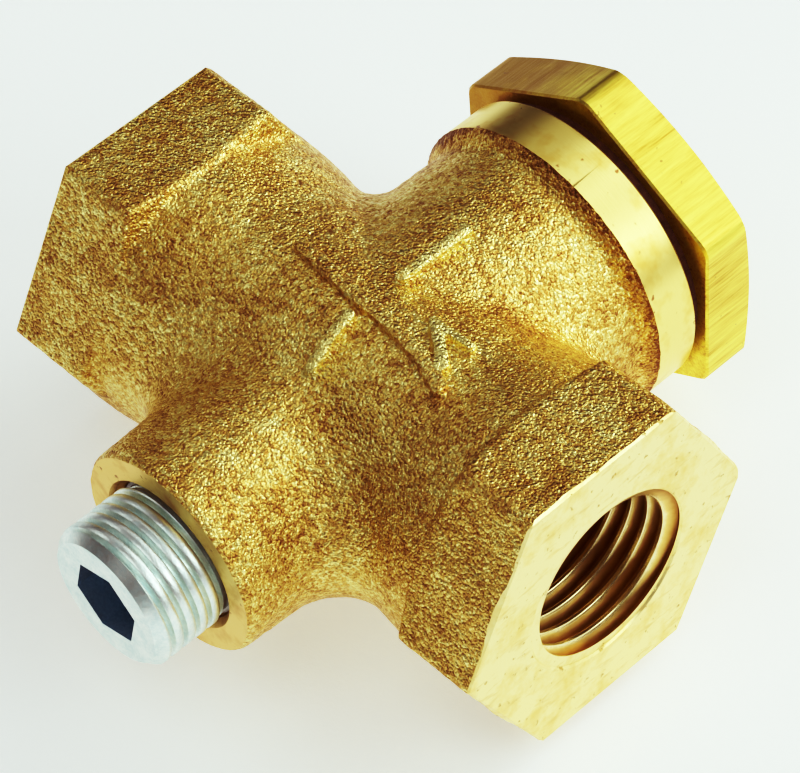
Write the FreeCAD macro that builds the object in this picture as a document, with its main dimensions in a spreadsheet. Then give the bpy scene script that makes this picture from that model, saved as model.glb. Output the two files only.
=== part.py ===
"""Brass lift check valve (backflow preventer) with a screwed side cap and a drain plug.

Every sub-part is drawn about the point where the flow axis and the cap axis cross:
X is the flow axis (inlet at -X, outlet at +X), Y is the cap axis (cap at +Y, drain plug at -Y), Z is up.
Each sub-part's Placement then moves that crossing point half a body length along +X, so that the
part's own origin is the middle of the inlet port's mouth.
"""
import FreeCAD, Part
import math
import os
import re

import Sketcher

# Driving dimensions in millimetres. The sheet gives each one its alias.
DIMENSIONS = {
    # cast body, outside
    "face_to_face": 42.0,
    "hex_flats": 22.0,
    "hex_top_half": 6.1,
    "hex_corner": 12.0,
    "hex_length": 6.2,
    "barrel_radius": 10.4,
    "barrel_overlap": 0.5,
    "cap_boss_radius": 9.8,
    "cap_shoulder_radius": 11.2,
    "cap_flare_start": 12.4,
    "cap_shoulder_start": 14.8,
    "ring_radius": 10.7,
    "ring_start": 16.6,
    "ring_end": 18.7,
    "drain_boss_root": 8.3,
    "drain_boss_radius": 7.4,
    "drain_face": 17.4,
    "drain_fillet": 3.0,
    "cap_fillet": 1.8,
    # cast marks on the upper side
    "mark_base": 9.0,
    "arrow_top": 10.95,
    "bar_top": 10.45,
    "arrow_start": -5.0,
    "arrow_end": 9.3,
    "arrow_half_width": 0.55,
    "arrow_skew": 1.9,
    "barb_start": 5.6,
    "barb_side": 0.9,
    "barb_end": 8.4,
    "barb_width": 0.9,
    "bar_centre": 0.95,
    "bar_half_width": 0.45,
    "bar_one_start": 2.4,
    "bar_one_end": 8.2,
    "bar_two_start": -1.4,
    "bar_two_end": -5.4,
    # ports: the plain wall stands at the minor diameter of the G 1/4 thread
    "port_radius": 5.72,
    "port_mouth_radius": 6.65,
    "port_countersink": 0.48,
    "port_depth": 11.3,
    "passage_radius": 6.2,
    "passage_reach": 6.8,
    # web and chambers
    "web_half": 1.2,
    "web_hole": 5.33,
    "upper_radius": 7.2,
    "cap_bore": 7.475,
    "cap_bore_depth": 6.4,
    "cap_bore_mouth": 8.4,
    "cap_mouth_depth": 0.9,
    "lower_radius": 6.2,
    "lower_end": 9.4,
    "plug_bore": 5.13,
    "plug_bore_mouth": 5.5,
    "plug_mouth_depth": 0.4,
    # seat ring and its joint ring
    "seat_body": 5.3,
    "seat_bore": 4.2,
    "seat_flange": 6.4,
    "seat_flange_top": 2.3,
    "seat_nose": 4.9,
    "seat_nose_top": 3.0,
    "seat_foot": 1.5,
    "seat_nose_slope": 0.1,
    "seat_nose_break": 0.15,
    "seat_lead_in": 0.3,
    "joint_ring_bore": 5.45,
    "joint_ring_thickness": 0.3,
    # poppet
    "disc_top": 4.6,
    "disc_radius": 5.5,
    "disc_bore": 1.5,
    "skirt_bore": 5.53,
    "poppet_radius": 6.2,
    "skirt_bottom": 3.7,
    "plate_top": 6.2,
    "skirt_chamfer": 0.2,
    "plate_chamfer": 0.4,
    "spring_boss": 2.5,
    "spring_boss_top": 7.6,
    "stem_radius": 1.92,
    "stem_top": 18.85,
    "stem_chamfer": 0.4,
    "screw_hole": 1.28,
    "screw_hole_top": 9.0,
    # seal washer, lock washer and screw
    "washer_radius": 2.5,
    "washer_bore": 1.35,
    "washer_bottom": 2.5,
    "lock_washer_radius": 2.0,
    "lock_washer_bottom": 2.0,
    "lock_washer_gap": 0.5,
    "screw_radius": 1.25,
    "screw_top": 8.4,
    "screw_head": 2.1,
    "screw_head_bottom": 0.5,
    "screw_head_chamfer": 0.2,
    "screw_point_chamfer": 0.3,
    "slot_half_width": 0.3,
    "slot_depth": 0.7,
    # spring
    "wire_radius": 0.3,
    "spring_mean": 3.4,
    "spring_pitch": 1.2,
    # guide bush and the washer that the spring bears on
    "spring_washer_radius": 4.6,
    "spring_washer_bore": 2.6,
    "spring_washer_bottom": 14.2,
    "bush_radius": 3.98,
    "bush_bore": 1.98,
    "bush_flange": 5.2,
    "bush_bottom": 14.6,
    "bush_step": 15.4,
    "bush_top": 20.4,
    # cap
    "cap_flats": 21.8,
    "cap_start": 19.5,
    "cap_end": 23.75,
    "cap_chamfer": 0.9,
    "spigot_radius": 7.42,
    "spigot_end": 13.4,
    "spigot_chamfer": 0.5,
    "spring_pocket": 5.6,
    "bush_seat": 4.0,
    "cap_roof": 21.4,
    "gasket_bore": 8.45,
    "gasket_radius": 10.0,
    # drain plug
    "plug_radius": 5.1,
    "plug_shank": 4.75,
    "plug_end": 22.6,
    "plug_inner": 11.6,
    "plug_chamfer": 0.6,
    "plug_lead": 0.4,
    "plug_shoulder": 0.1,
    "plug_run_out": 0.3,
    "socket_flats": 5.0,
    "socket_depth": 5.0,
    "socket_turn": 15.0,
    "tape_bore": 4.78,
    "tape_radius": 5.08,
    "tape_length": 4.6,
    # how far a cut runs past the faces that it opens, and a cap's spigot into its hexagon
    "overrun": 0.5,
}
NAMES = re.compile(r"[a-z][a-z_]+")

doc = FreeCAD.newDocument("CheckValve")
sheet = doc.addObject("Spreadsheet::Sheet", "Dimensions")
for row, (alias, size) in enumerate(DIMENSIONS.items(), start=1):
    sheet.set(f"A{row}", alias)
    sheet.set(f"B{row}", str(size))
    sheet.setAlias(f"B{row}", alias)
doc.recompute()


def bound(expression):
    """The expression with every alias written as a cell of the sheet."""
    return NAMES.sub(lambda found: f"Dimensions.{found.group()}", expression)


def size_of(expression):
    """The expression's value now, in millimetres."""
    return float(sheet.evalExpression(expression))


def new_body(label):
    """An empty body whose crossing point stands half a body length along +X from the part's origin."""
    body = doc.addObject("PartDesign::Body", label)
    body.Label = label
    body.setExpression(".Placement.Base.x", bound("face_to_face / 2"))
    return body


def plane(body, role):
    return next(item for item in body.Origin.OriginFeatures if item.Role == role)


def new_sketch(body, name, role="XY_Plane", offset=None):
    """An empty sketch on one of the body's own origin planes, offset along its normal."""
    sketch = body.newObject("Sketcher::SketchObject", name)
    sketch.AttachmentSupport = [(plane(body, role), "")]
    sketch.MapMode = "FlatFace"
    if offset:
        sketch.setExpression(".AttachmentOffset.Base.z", bound(offset))
    return sketch


def tie(sketch, kind, edge, end, expression, across):
    """Hold one end of a sketch edge at a bound distance from the sketch's origin."""
    value = size_of(expression)
    if abs(value) < 1e-9:
        sketch.addConstraint(Sketcher.Constraint("PointOnObject", edge, end, across))
        return
    ends = (-1, 1, edge, end) if value > 0 else (edge, end, -1, 1)
    index = sketch.addConstraint(Sketcher.Constraint(kind, *ends, abs(value)))
    positive = bound(expression) if value > 0 else f"-({bound(expression)})"
    sketch.setExpression(f"Constraints[{index}]", positive)


def outline(sketch, corners):
    """A closed outline through corners, each a pair of expressions."""
    points = [FreeCAD.Vector(size_of(across), size_of(up), 0) for across, up in corners]
    first = sketch.GeometryCount
    for start, end in zip(points, points[1:] + points[:1]):
        sketch.addGeometry(Part.LineSegment(start, end), False)
    for step, (across, up) in enumerate(corners):
        edge = first + step
        before = first + (step - 1) % len(corners)
        sketch.addConstraint(Sketcher.Constraint("Coincident", before, 2, edge, 1))
        tie(sketch, "DistanceX", edge, 1, across, -2)
        tie(sketch, "DistanceY", edge, 1, up, -1)
    return sketch


def turned(body, name, corners, axis="V_Axis", cut=False):
    """Material added or cut by turning an outline in the XY plane about Y (V_Axis) or X (H_Axis)."""
    sketch = outline(new_sketch(body, f"{name}Outline"), corners)
    kind = "PartDesign::Groove" if cut else "PartDesign::Revolution"
    feature = body.newObject(kind, name)
    feature.Profile = sketch
    feature.ReferenceAxis = (sketch, [axis])
    feature.Angle = 360
    return feature


def ring_outline(inner, outer, low, high):
    return [(inner, low), (outer, low), (outer, high), (inner, high)]


def corner_of(flats):
    """From a regular hexagon's middle to its corners, given the size across its flats."""
    return f"{flats} / 3 ^ 0.5"


def pad(body, name, sketch, length):
    feature = body.newObject("PartDesign::Pad", name)
    feature.Profile = sketch
    feature.setExpression("Length", bound(length))
    return feature


def pocket(body, name, sketch, length, reverse):
    """A pocket checked to take material away, because one that points out of the solid cuts nothing."""
    doc.recompute()
    before = body.Shape.Volume
    feature = body.newObject("PartDesign::Pocket", name)
    feature.Profile = sketch
    feature.setExpression("Length", bound(length))
    feature.Reversed = reverse
    doc.recompute()
    if body.Shape.Volume > before - 0.01:
        raise ValueError(f"{name} cuts nothing")
    return feature


def port_hexagon(body, name, offset):
    """A wrench hexagon with flats at +Z and -Z. Its two corners on the mould's parting line are blunt."""
    sketch = new_sketch(body, f"{name}Outline", "YZ_Plane", offset)
    top = "hex_flats / 2"
    bottom = "-hex_flats / 2"
    corners = [
        ("hex_corner", "0"),
        ("hex_top_half", top),
        ("-hex_top_half", top),
        ("-hex_corner", "0"),
        ("-hex_top_half", bottom),
        ("hex_top_half", bottom),
    ]
    return pad(body, name, outline(sketch, corners), "hex_length")


def half_passage(body, name, side):
    """The D-shaped way under the web from the inlet (side -1), or over it to the outlet (side +1)."""
    offset = "port_depth - face_to_face / 2"
    start = offset if side < 0 else "face_to_face / 2 - port_depth"
    sketch = new_sketch(body, f"{name}Outline", "YZ_Plane", start)
    radius = size_of("passage_radius")
    half_angle = math.acos(size_of("web_half") / radius)
    middle = 0.0 if side > 0 else math.pi
    circle = Part.Circle(FreeCAD.Vector(0, 0, 0), FreeCAD.Vector(0, 0, 1), radius)
    arc = Part.ArcOfCircle(circle, middle - half_angle, middle + half_angle)
    sketch.addGeometry(arc, False)
    sketch.addGeometry(Part.LineSegment(arc.EndPoint, arc.StartPoint), False)
    sketch.addConstraint(Sketcher.Constraint("Coincident", 0, 2, 1, 1))
    sketch.addConstraint(Sketcher.Constraint("Coincident", 1, 2, 0, 1))
    sketch.addConstraint(Sketcher.Constraint("Coincident", 0, 3, -1, 1))
    sketch.addConstraint(Sketcher.Constraint("Vertical", 1))
    index = sketch.addConstraint(Sketcher.Constraint("Radius", 0, radius))
    sketch.setExpression(f"Constraints[{index}]", bound("passage_radius"))
    tie(sketch, "DistanceX", 1, 1, "web_half" if side > 0 else "-web_half", -2)
    return pocket(body, name, sketch, "passage_reach", side < 0)


def boss_edges(shape, side):
    """The names of the curved edges where the boss on one side of the barrel meets it."""
    found = []
    for number, edge in enumerate(shape.Edges, start=1):
        middle = edge.valueAt((edge.FirstParameter + edge.LastParameter) / 2)
        on_barrel = abs(math.hypot(middle.y, middle.z) - size_of("barrel_radius")) < 0.01
        box = edge.BoundBox
        if on_barrel and middle.y * side > 0 and box.XLength > 1 and box.YLength > 1:
            found.append(f"Edge{number}")
    return found


def cast_fillet(body, name, side, radius):
    """The concave radius that the casting has where a boss leaves the barrel."""
    doc.recompute()
    base = (body.Tip, boss_edges(body.Shape, side))
    feature = body.newObject("PartDesign::Fillet", name)
    feature.Base = base
    feature.setExpression("Radius", bound(radius))
    body.Tip = feature


def make_valve_body():
    body = new_body("valve_body")
    hex_inner = "face_to_face / 2 - hex_length"
    turned(
        body,
        "Barrel",
        [
            (f"-({hex_inner}) - barrel_overlap", "0"),
            (f"{hex_inner} + barrel_overlap", "0"),
            (f"{hex_inner} + barrel_overlap", "barrel_radius"),
            (f"-({hex_inner}) - barrel_overlap", "barrel_radius"),
        ],
        "H_Axis",
    )
    turned(
        body,
        "DrainBoss",
        [("0", "0"), ("drain_boss_root", "0"), ("drain_boss_radius", "-drain_face"), ("0", "-drain_face")],
    )
    turned(
        body,
        "CapBoss",
        [
            ("0", "0"),
            ("cap_boss_radius", "0"),
            ("cap_boss_radius", "cap_flare_start"),
            ("cap_shoulder_radius", "cap_shoulder_start"),
            ("cap_shoulder_radius", "ring_start - 1"),
            ("ring_radius", "ring_start"),
            ("ring_radius", "ring_end"),
            ("0", "ring_end"),
        ],
    )
    cast_fillet(body, "DrainFillet", -1, "drain_fillet")
    cast_fillet(body, "CapFillet", 1, "cap_fillet")
    port_hexagon(body, "InletHexagon", "-face_to_face / 2")
    port_hexagon(body, "OutletHexagon", hex_inner)
    make_marks(body)
    cut_port(body, "InletPort", "-1")
    cut_port(body, "OutletPort", "1")
    turned(
        body,
        "CapBore",
        [
            ("0", "web_half"),
            ("upper_radius", "web_half"),
            ("upper_radius", "ring_end - cap_bore_depth"),
            ("cap_bore", "ring_end - cap_bore_depth"),
            ("cap_bore", "ring_end - cap_mouth_depth"),
            ("cap_bore_mouth", "ring_end"),
            ("0", "ring_end"),
        ],
        cut=True,
    )
    turned(
        body,
        "DrainBore",
        [
            ("0", "-web_half"),
            ("lower_radius", "-web_half"),
            ("lower_radius", "-lower_end"),
            ("plug_bore", "-lower_end"),
            ("plug_bore", "plug_mouth_depth - drain_face"),
            ("plug_bore_mouth", "-drain_face"),
            ("0", "-drain_face"),
        ],
        cut=True,
    )
    web_hole = ring_outline("0", "web_hole", "-web_half - overrun", "web_half + overrun")
    turned(body, "WebHole", web_hole, cut=True)
    half_passage(body, "InletPassage", -1)
    half_passage(body, "OutletPassage", 1)
    return body


def make_marks(body):
    """Raised flow arrow and two plain bars, cast on the upper side of the body."""
    arrow = outline(
        new_sketch(body, "ArrowShaftOutline", offset="mark_base"),
        [
            ("arrow_start", "-arrow_half_width"),
            ("arrow_end", "-arrow_skew - arrow_half_width"),
            ("arrow_end", "arrow_half_width - arrow_skew"),
            ("arrow_start", "arrow_half_width"),
        ],
    )
    pad(body, "ArrowShaft", arrow, "arrow_top - mark_base")
    barb = outline(
        new_sketch(body, "ArrowBarbOutline", offset="mark_base"),
        [
            ("barb_start", "barb_side"),
            ("barb_start + arrow_half_width", "barb_side - barb_width"),
            ("barb_end", "-arrow_skew"),
            ("barb_end + arrow_half_width", "-arrow_half_width"),
            ("barb_start + barb_width", "barb_side + bar_half_width"),
        ],
    )
    pad(body, "ArrowBarb", barb, "arrow_top - mark_base")
    for name, low, high in (
        ("BarOne", "bar_one_start", "bar_one_end"),
        ("BarTwo", "bar_two_end", "bar_two_start"),
    ):
        left = "bar_centre - bar_half_width"
        right = "bar_centre + bar_half_width"
        sketch = new_sketch(body, f"{name}Outline", offset="mark_base")
        outline(sketch, ring_outline(left, right, low, high))
        pad(body, name, sketch, "bar_top - mark_base")


def cut_port(body, name, sign):
    """A threaded port, plain at the thread's minor diameter, with a countersunk mouth."""
    mouth = f"{sign} * face_to_face / 2"
    inner = f"{sign} * (face_to_face / 2 - port_depth)"
    countersink_end = f"{sign} * (face_to_face / 2 - port_countersink)"
    turned(
        body,
        name,
        [
            (inner, "0"),
            (mouth, "0"),
            (mouth, "port_mouth_radius"),
            (countersink_end, "port_radius"),
            (inner, "port_radius"),
        ],
        "H_Axis",
        cut=True,
    )


def make_seat():
    seat = new_body("seat_ring")
    turned(
        seat,
        "Seat",
        [
            ("seat_bore", "-seat_foot"),
            ("seat_body", "-seat_foot"),
            ("seat_body", "web_half + joint_ring_thickness"),
            ("seat_flange", "web_half + joint_ring_thickness"),
            ("seat_flange", "seat_flange_top"),
            ("seat_nose + seat_nose_slope", "seat_flange_top"),
            ("seat_nose - seat_nose_break", "seat_nose_top"),
            ("seat_bore + seat_nose_break", "seat_nose_top"),
            ("seat_bore", "seat_nose_top - seat_lead_in"),
        ],
    )
    joint = new_body("seat_joint_ring")
    turned(
        joint,
        "JointRing",
        ring_outline("joint_ring_bore", "seat_flange", "web_half", "web_half + joint_ring_thickness"),
    )


def make_poppet():
    poppet = new_body("poppet")
    turned(
        poppet,
        "Poppet",
        [
            ("screw_hole", "disc_top"),
            ("skirt_bore", "disc_top"),
            ("skirt_bore", "skirt_bottom"),
            ("poppet_radius - skirt_chamfer", "skirt_bottom"),
            ("poppet_radius", "skirt_bottom + skirt_chamfer"),
            ("poppet_radius", "plate_top - plate_chamfer"),
            ("poppet_radius - plate_chamfer", "plate_top"),
            ("spring_boss", "plate_top"),
            ("spring_boss", "spring_boss_top"),
            ("stem_radius", "spring_boss_top"),
            ("stem_radius", "stem_top - stem_chamfer"),
            ("stem_radius - stem_chamfer", "stem_top"),
            ("0", "stem_top"),
            ("0", "screw_hole_top"),
            ("screw_hole", "screw_hole_top"),
        ],
    )
    disc = new_body("seal_disc")
    turned(disc, "SealDisc", ring_outline("disc_bore", "disc_radius", "seat_nose_top", "disc_top"))
    washer = new_body("seal_washer")
    turned(washer, "SealWasher", ring_outline("washer_bore", "washer_radius", "washer_bottom", "seat_nose_top"))
    lock = new_body("lock_washer")
    turned(
        lock,
        "LockWasher",
        ring_outline("washer_bore", "lock_washer_radius", "lock_washer_bottom", "washer_bottom"),
    )
    gap = new_sketch(lock, "LockWasherGapOutline")
    outline(
        gap,
        [
            ("0", "lock_washer_bottom - overrun"),
            ("lock_washer_radius + overrun", "lock_washer_bottom - overrun"),
            ("lock_washer_radius + overrun", "washer_bottom + overrun"),
            ("0", "washer_bottom + overrun"),
        ],
    )
    split = pocket(lock, "LockWasherGap", gap, "lock_washer_gap", False)
    split.Midplane = True
    screw = new_body("seal_screw")
    turned(
        screw,
        "SealScrew",
        [
            ("0", "screw_head_bottom"),
            ("screw_head - screw_head_chamfer", "screw_head_bottom"),
            ("screw_head", "screw_head_bottom + screw_head_chamfer"),
            ("screw_head", "lock_washer_bottom"),
            ("screw_radius", "lock_washer_bottom"),
            ("screw_radius", "screw_top - screw_point_chamfer"),
            ("screw_radius - screw_point_chamfer", "screw_top"),
            ("0", "screw_top"),
        ],
    )
    slot = new_sketch(screw, "SlotOutline")
    outline(
        slot,
        ring_outline(
            "-slot_half_width",
            "slot_half_width",
            "screw_head_bottom - overrun",
            "screw_head_bottom + slot_depth",
        ),
    )
    cut = pocket(screw, "Slot", slot, "screw_head * 3", False)
    cut.Midplane = True


def make_spring():
    """A coil of round wire between the poppet's plate and the guide bush."""
    spring = new_body("return_spring")
    sketch = new_sketch(spring, "WireSection")
    centre = FreeCAD.Vector(size_of("spring_mean"), size_of("plate_top + wire_radius"), 0)
    sketch.addGeometry(Part.Circle(centre, FreeCAD.Vector(0, 0, 1), size_of("wire_radius")), False)
    index = sketch.addConstraint(Sketcher.Constraint("Radius", 0, size_of("wire_radius")))
    sketch.setExpression(f"Constraints[{index}]", bound("wire_radius"))
    tie(sketch, "DistanceX", 0, 3, "spring_mean", -2)
    tie(sketch, "DistanceY", 0, 3, "plate_top + wire_radius", -1)
    coil = spring.newObject("PartDesign::AdditiveHelix", "Coil")
    coil.Profile = sketch
    coil.ReferenceAxis = (sketch, ["V_Axis"])
    coil.Mode = 0
    coil.setExpression("Pitch", bound("spring_pitch"))
    coil.setExpression("Height", bound("spring_washer_bottom - plate_top - 2 * wire_radius"))


def make_bush():
    bush = new_body("guide_bush")
    turned(
        bush,
        "Bush",
        [
            ("bush_bore", "bush_bottom"),
            ("bush_flange", "bush_bottom"),
            ("bush_flange", "bush_step"),
            ("bush_radius", "bush_step"),
            ("bush_radius", "bush_top"),
            ("bush_bore", "bush_top"),
        ],
    )
    washer = new_body("spring_washer")
    turned(
        washer,
        "SpringWasher",
        ring_outline("spring_washer_bore", "spring_washer_radius", "spring_washer_bottom", "bush_bottom"),
    )


def make_cap():
    cap = new_body("cap")
    corner = corner_of("cap_flats")
    sketch = outline(
        new_sketch(cap, "CapHexagonOutline", "XZ_Plane", "-cap_start"),
        [
            ("0", corner),
            ("-cap_flats / 2", f"{corner} / 2"),
            ("-cap_flats / 2", f"-{corner} / 2"),
            ("0", f"-{corner}"),
            ("cap_flats / 2", f"-{corner} / 2"),
            ("cap_flats / 2", f"{corner} / 2"),
        ],
    )
    hexagon = pad(cap, "CapHexagon", sketch, "cap_end - cap_start")
    hexagon.Reversed = True
    turned(
        cap,
        "CapChamfer",
        [
            (corner, "cap_end - cap_chamfer"),
            (f"{corner} + overrun", "cap_end - cap_chamfer"),
            (f"{corner} + overrun", "cap_end + overrun"),
            ("cap_flats / 2", "cap_end + overrun"),
            ("cap_flats / 2", "cap_end"),
        ],
        cut=True,
    )
    turned(
        cap,
        "Spigot",
        [
            ("0", "spigot_end"),
            ("spigot_radius - spigot_chamfer", "spigot_end"),
            ("spigot_radius", "spigot_end + spigot_chamfer"),
            ("spigot_radius", "cap_start + overrun"),
            ("0", "cap_start + overrun"),
        ],
    )
    turned(
        cap,
        "CapHollow",
        [
            ("0", "spigot_end"),
            ("spring_pocket", "spigot_end"),
            ("spring_pocket", "bush_step"),
            ("bush_seat", "bush_step"),
            ("bush_seat", "cap_roof"),
            ("0", "cap_roof"),
        ],
        cut=True,
    )
    gasket = new_body("cap_gasket")
    turned(gasket, "Gasket", ring_outline("gasket_bore", "gasket_radius", "ring_end", "cap_start"))


def make_plug():
    plug = new_body("drain_plug")
    turned(
        plug,
        "Plug",
        [
            ("0", "-plug_end"),
            ("plug_radius - plug_chamfer", "-plug_end"),
            ("plug_radius", "plug_chamfer - plug_end"),
            ("plug_radius", "-drain_face - plug_shoulder"),
            ("plug_shank", "plug_run_out - drain_face"),
            ("plug_shank", "-plug_inner - plug_lead"),
            ("plug_shank - plug_lead", "-plug_inner"),
            ("0", "-plug_inner"),
        ],
    )
    corner = corner_of("socket_flats")
    corners = []
    for step in range(6):
        turn = math.radians(size_of("socket_turn") + 60 * step)
        corners.append((f"{corner} * {math.cos(turn):.6f}", f"{corner} * {math.sin(turn):.6f}"))
    socket = outline(new_sketch(plug, "SocketOutline", "XZ_Plane", "plug_end"), corners)
    pocket(plug, "Socket", socket, "socket_depth", False)
    tape = new_body("drain_plug_seal")
    turned(
        tape,
        "SealTape",
        ring_outline(
            "tape_bore", "tape_radius", "-plug_inner - plug_lead - tape_length", "-plug_inner - plug_lead"
        ),
    )


make_valve_body()
make_seat()
make_poppet()
make_spring()
make_bush()
make_cap()
make_plug()
doc.recompute()

for item in doc.Objects:
    if "Invalid" in item.State or "Error" in item.State:
        raise ValueError(f"{item.Label} failed: {item.State}")

bodies = [item for item in doc.Objects if item.TypeId == "PartDesign::Body"]
for body in bodies:
    if body.Shape.isNull() or not body.Shape.isValid() or len(body.Shape.Solids) != 1:
        raise ValueError(f"{body.Label} is not one valid solid")

os.makedirs("parts", exist_ok=True)
for body in bodies:
    body.Shape.exportStep(f"parts/{body.Label}.step")
    print(f"{body.Label}: {body.Shape.Volume:.1f} mm3")
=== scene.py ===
"""Looks of the brass lift check valve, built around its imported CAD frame.

Shapes are worked out in millimetres about the point where the flow axis (X) and the cap axis (Y) cross,
with Z up, and are moved to the row frame in metres when a mesh is made.
"""

import math

import bpy
import numpy as np
from mathutils import Matrix, Vector, noise


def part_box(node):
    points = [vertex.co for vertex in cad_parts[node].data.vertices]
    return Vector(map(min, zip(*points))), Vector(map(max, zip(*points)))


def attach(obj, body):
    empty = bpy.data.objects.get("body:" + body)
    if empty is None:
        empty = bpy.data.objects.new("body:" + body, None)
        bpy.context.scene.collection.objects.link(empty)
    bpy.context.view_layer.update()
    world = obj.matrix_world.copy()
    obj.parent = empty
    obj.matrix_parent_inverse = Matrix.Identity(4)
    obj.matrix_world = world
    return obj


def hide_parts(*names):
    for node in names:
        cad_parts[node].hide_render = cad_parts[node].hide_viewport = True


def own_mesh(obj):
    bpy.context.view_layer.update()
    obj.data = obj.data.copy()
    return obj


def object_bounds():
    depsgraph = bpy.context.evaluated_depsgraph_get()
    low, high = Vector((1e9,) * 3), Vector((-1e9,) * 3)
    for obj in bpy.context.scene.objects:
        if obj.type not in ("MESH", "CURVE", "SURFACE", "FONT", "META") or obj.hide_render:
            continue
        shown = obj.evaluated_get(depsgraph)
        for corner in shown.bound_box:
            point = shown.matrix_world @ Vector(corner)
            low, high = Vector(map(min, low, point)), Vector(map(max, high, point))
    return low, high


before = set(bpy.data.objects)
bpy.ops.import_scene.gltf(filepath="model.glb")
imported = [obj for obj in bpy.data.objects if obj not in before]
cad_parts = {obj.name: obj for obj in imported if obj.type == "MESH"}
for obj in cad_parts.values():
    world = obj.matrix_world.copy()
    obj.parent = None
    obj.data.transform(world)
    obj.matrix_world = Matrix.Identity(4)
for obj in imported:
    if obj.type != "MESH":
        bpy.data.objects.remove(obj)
cad_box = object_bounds()

MM = 0.001
body_low, body_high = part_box("valve_body")
CROSSING = Vector(((body_low.x + body_high.x) / 2, 0.0, 0.0))

# ---------------------------------------------------------------- sizes of the valve body, in millimetres
HALF_LENGTH = (body_high.x - body_low.x) / 2 / MM

# casting: the step of the mesh, the box it is worked out in, what is left on for facing and for overlaps
SKIN_STEP = 0.25
SKIN_LOW, SKIN_HIGH = (-22.6, -18.6, -12.2), (22.6, 20.4, 12.2)
FACING_STOCK = 0.35
OVERLAP = 1

# end hexagons: the flats' distances from the flow axis, the slanted flats' direction, the cap-side corner's
# blunt, the inner end's place 1 mm above the barrel with its draft, and the radii of the edges
HEX_TOP = 11.0
HEX_SIDE_NORMAL = (0.8813, 0.4727)
HEX_SIDE = 10.575
HEX_BLUNT = 11.6
HEX_START, HEX_DRAFT = 14.7, 0.35
HEX_EDGE, HEX_BLUNT_EDGE, HEX_INNER_EDGE, HEX_FOOT = 0.5, 0.3, 0.25, 0.3

# barrel, which swells towards the hexagons
BARREL, BARREL_SWELL = 10.0, 0.7
SWELL_START, SWELL_END = 8.5, 14.5

# large boss, with a collar below the turned ring; a fillet fades out at a height whose square is given
CAP_BOSS = 9.8
COLLAR, COLLAR_START = 0.85, 14.1
RING_RADIUS, RING_START, RING_END = 10.7, 15.3, 18.7
RING_BLANK, BLANK_START, BLANK_END = 0.6, RING_START - 0.2, RING_START + 0.6
RING_CHAMFER = 0.16
CAP_FILLET, CAP_FILLET_FADE = 2.6, 98

# small boss
DRAIN_BOSS, DRAIN_TAPER, DRAIN_EDGE = 8.3, 0.052, 0.9
DRAIN_FACE = -17.4
DRAIN_FILLET, DRAIN_FILLET_FADE = 4.2, 84
LEAST_FILLET = 0.05

# ports: thread, countersink, depth, thread's run-out and the relief behind it
PORT_MINOR, PORT_MAJOR = 5.72, 6.58
PORT_PITCH = 1.337
PORT_MOUTH, PORT_SINK = 6.64, 0.14
PORT_DEPTH, PORT_RUNOUT = 11.3, 2.2
RELIEF_RADIUS, RELIEF_WIDTH, RELIEF_BEVEL = 6.1, 1.3, 0.3

# chambers: half the web between them, each one's radius and far end, the hole under the seat, the passages
WEB = 1.2
UPPER_BORE, UPPER_END = 7.2, 12.5
LOWER_BORE, LOWER_END = 6.2, 9.4
SEAT_HOLE, SEAT_HOLE_REACH = 5.33, 1.4
PASSAGE_LENGTH, PASSAGE_OVERLAP = 6.8, 0.1

# the body's threads for the cap and the plug
CAP_PITCH = 1.337
CAP_MINOR, CAP_MAJOR = 7.475, 8.33
CAP_THREAD_START = 13.4
CAP_MOUTH, CAP_MOUTH_DEPTH = 8.9, 0.9
PLUG_PITCH = 1.0
DRAIN_MINOR, DRAIN_MAJOR = 5.13, 5.46
DRAIN_THREAD_START = 10.2
DRAIN_MOUTH, DRAIN_MOUTH_DEPTH = 6.0, 0.5
PAST_FACE = 0.5


# ---------------------------------------------------------------- meshes
def to_frame(points):
    """Points in millimetres about the crossing, in metres in the row frame."""
    return np.asarray(points, float) * MM + np.array(CROSSING)


def volume_of(points, triangles):
    corner = points[triangles]
    return np.einsum("ij,ij->i", corner[:, 0], np.cross(corner[:, 1], corner[:, 2])).sum() / 6


def mesh_object(name, points, faces, material, closed=True):
    """An object from points in millimetres about the crossing. A closed one is turned to face outward."""
    points = to_frame(points)
    if closed:
        triangles = np.array([(f[0], f[i], f[i + 1]) for f in faces for i in range(1, len(f) - 1)])
        if volume_of(points - points.mean(0), triangles) < 0:
            faces = [tuple(reversed(f)) for f in faces]
    mesh = bpy.data.meshes.new(name)
    mesh.from_pydata(points.tolist(), [], [tuple(int(i) for i in f) for f in faces])
    mesh.update()
    mesh.materials.append(material)
    piece = bpy.data.objects.new(name, mesh)
    bpy.context.scene.collection.objects.link(piece)
    return piece


def axes_along(direction):
    """Columns across, up and along: a right-handed set whose last column is the direction."""
    across = {"+X": (0, 1, 0), "-X": (0, 0, 1), "+Y": (0, 0, 1), "-Y": (1, 0, 0)}[direction]
    along = {"X": (1, 0, 0), "Y": (0, 1, 0)}[direction[1]]
    along = np.array(along, float) * (1 if direction[0] == "+" else -1)
    return np.column_stack([across, np.cross(along, across), along])


def band_faces(rows, columns, closed=False):
    """Quads between neighbouring loops of points, and from the last loop to the first where it is closed."""
    faces = []
    for row in range(rows if closed else rows - 1):
        above = (row + 1) % rows
        for j in range(columns):
            k = (j + 1) % columns
            faces.append((row * columns + j, row * columns + k, above * columns + k, above * columns + j))
    return faces


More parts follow.
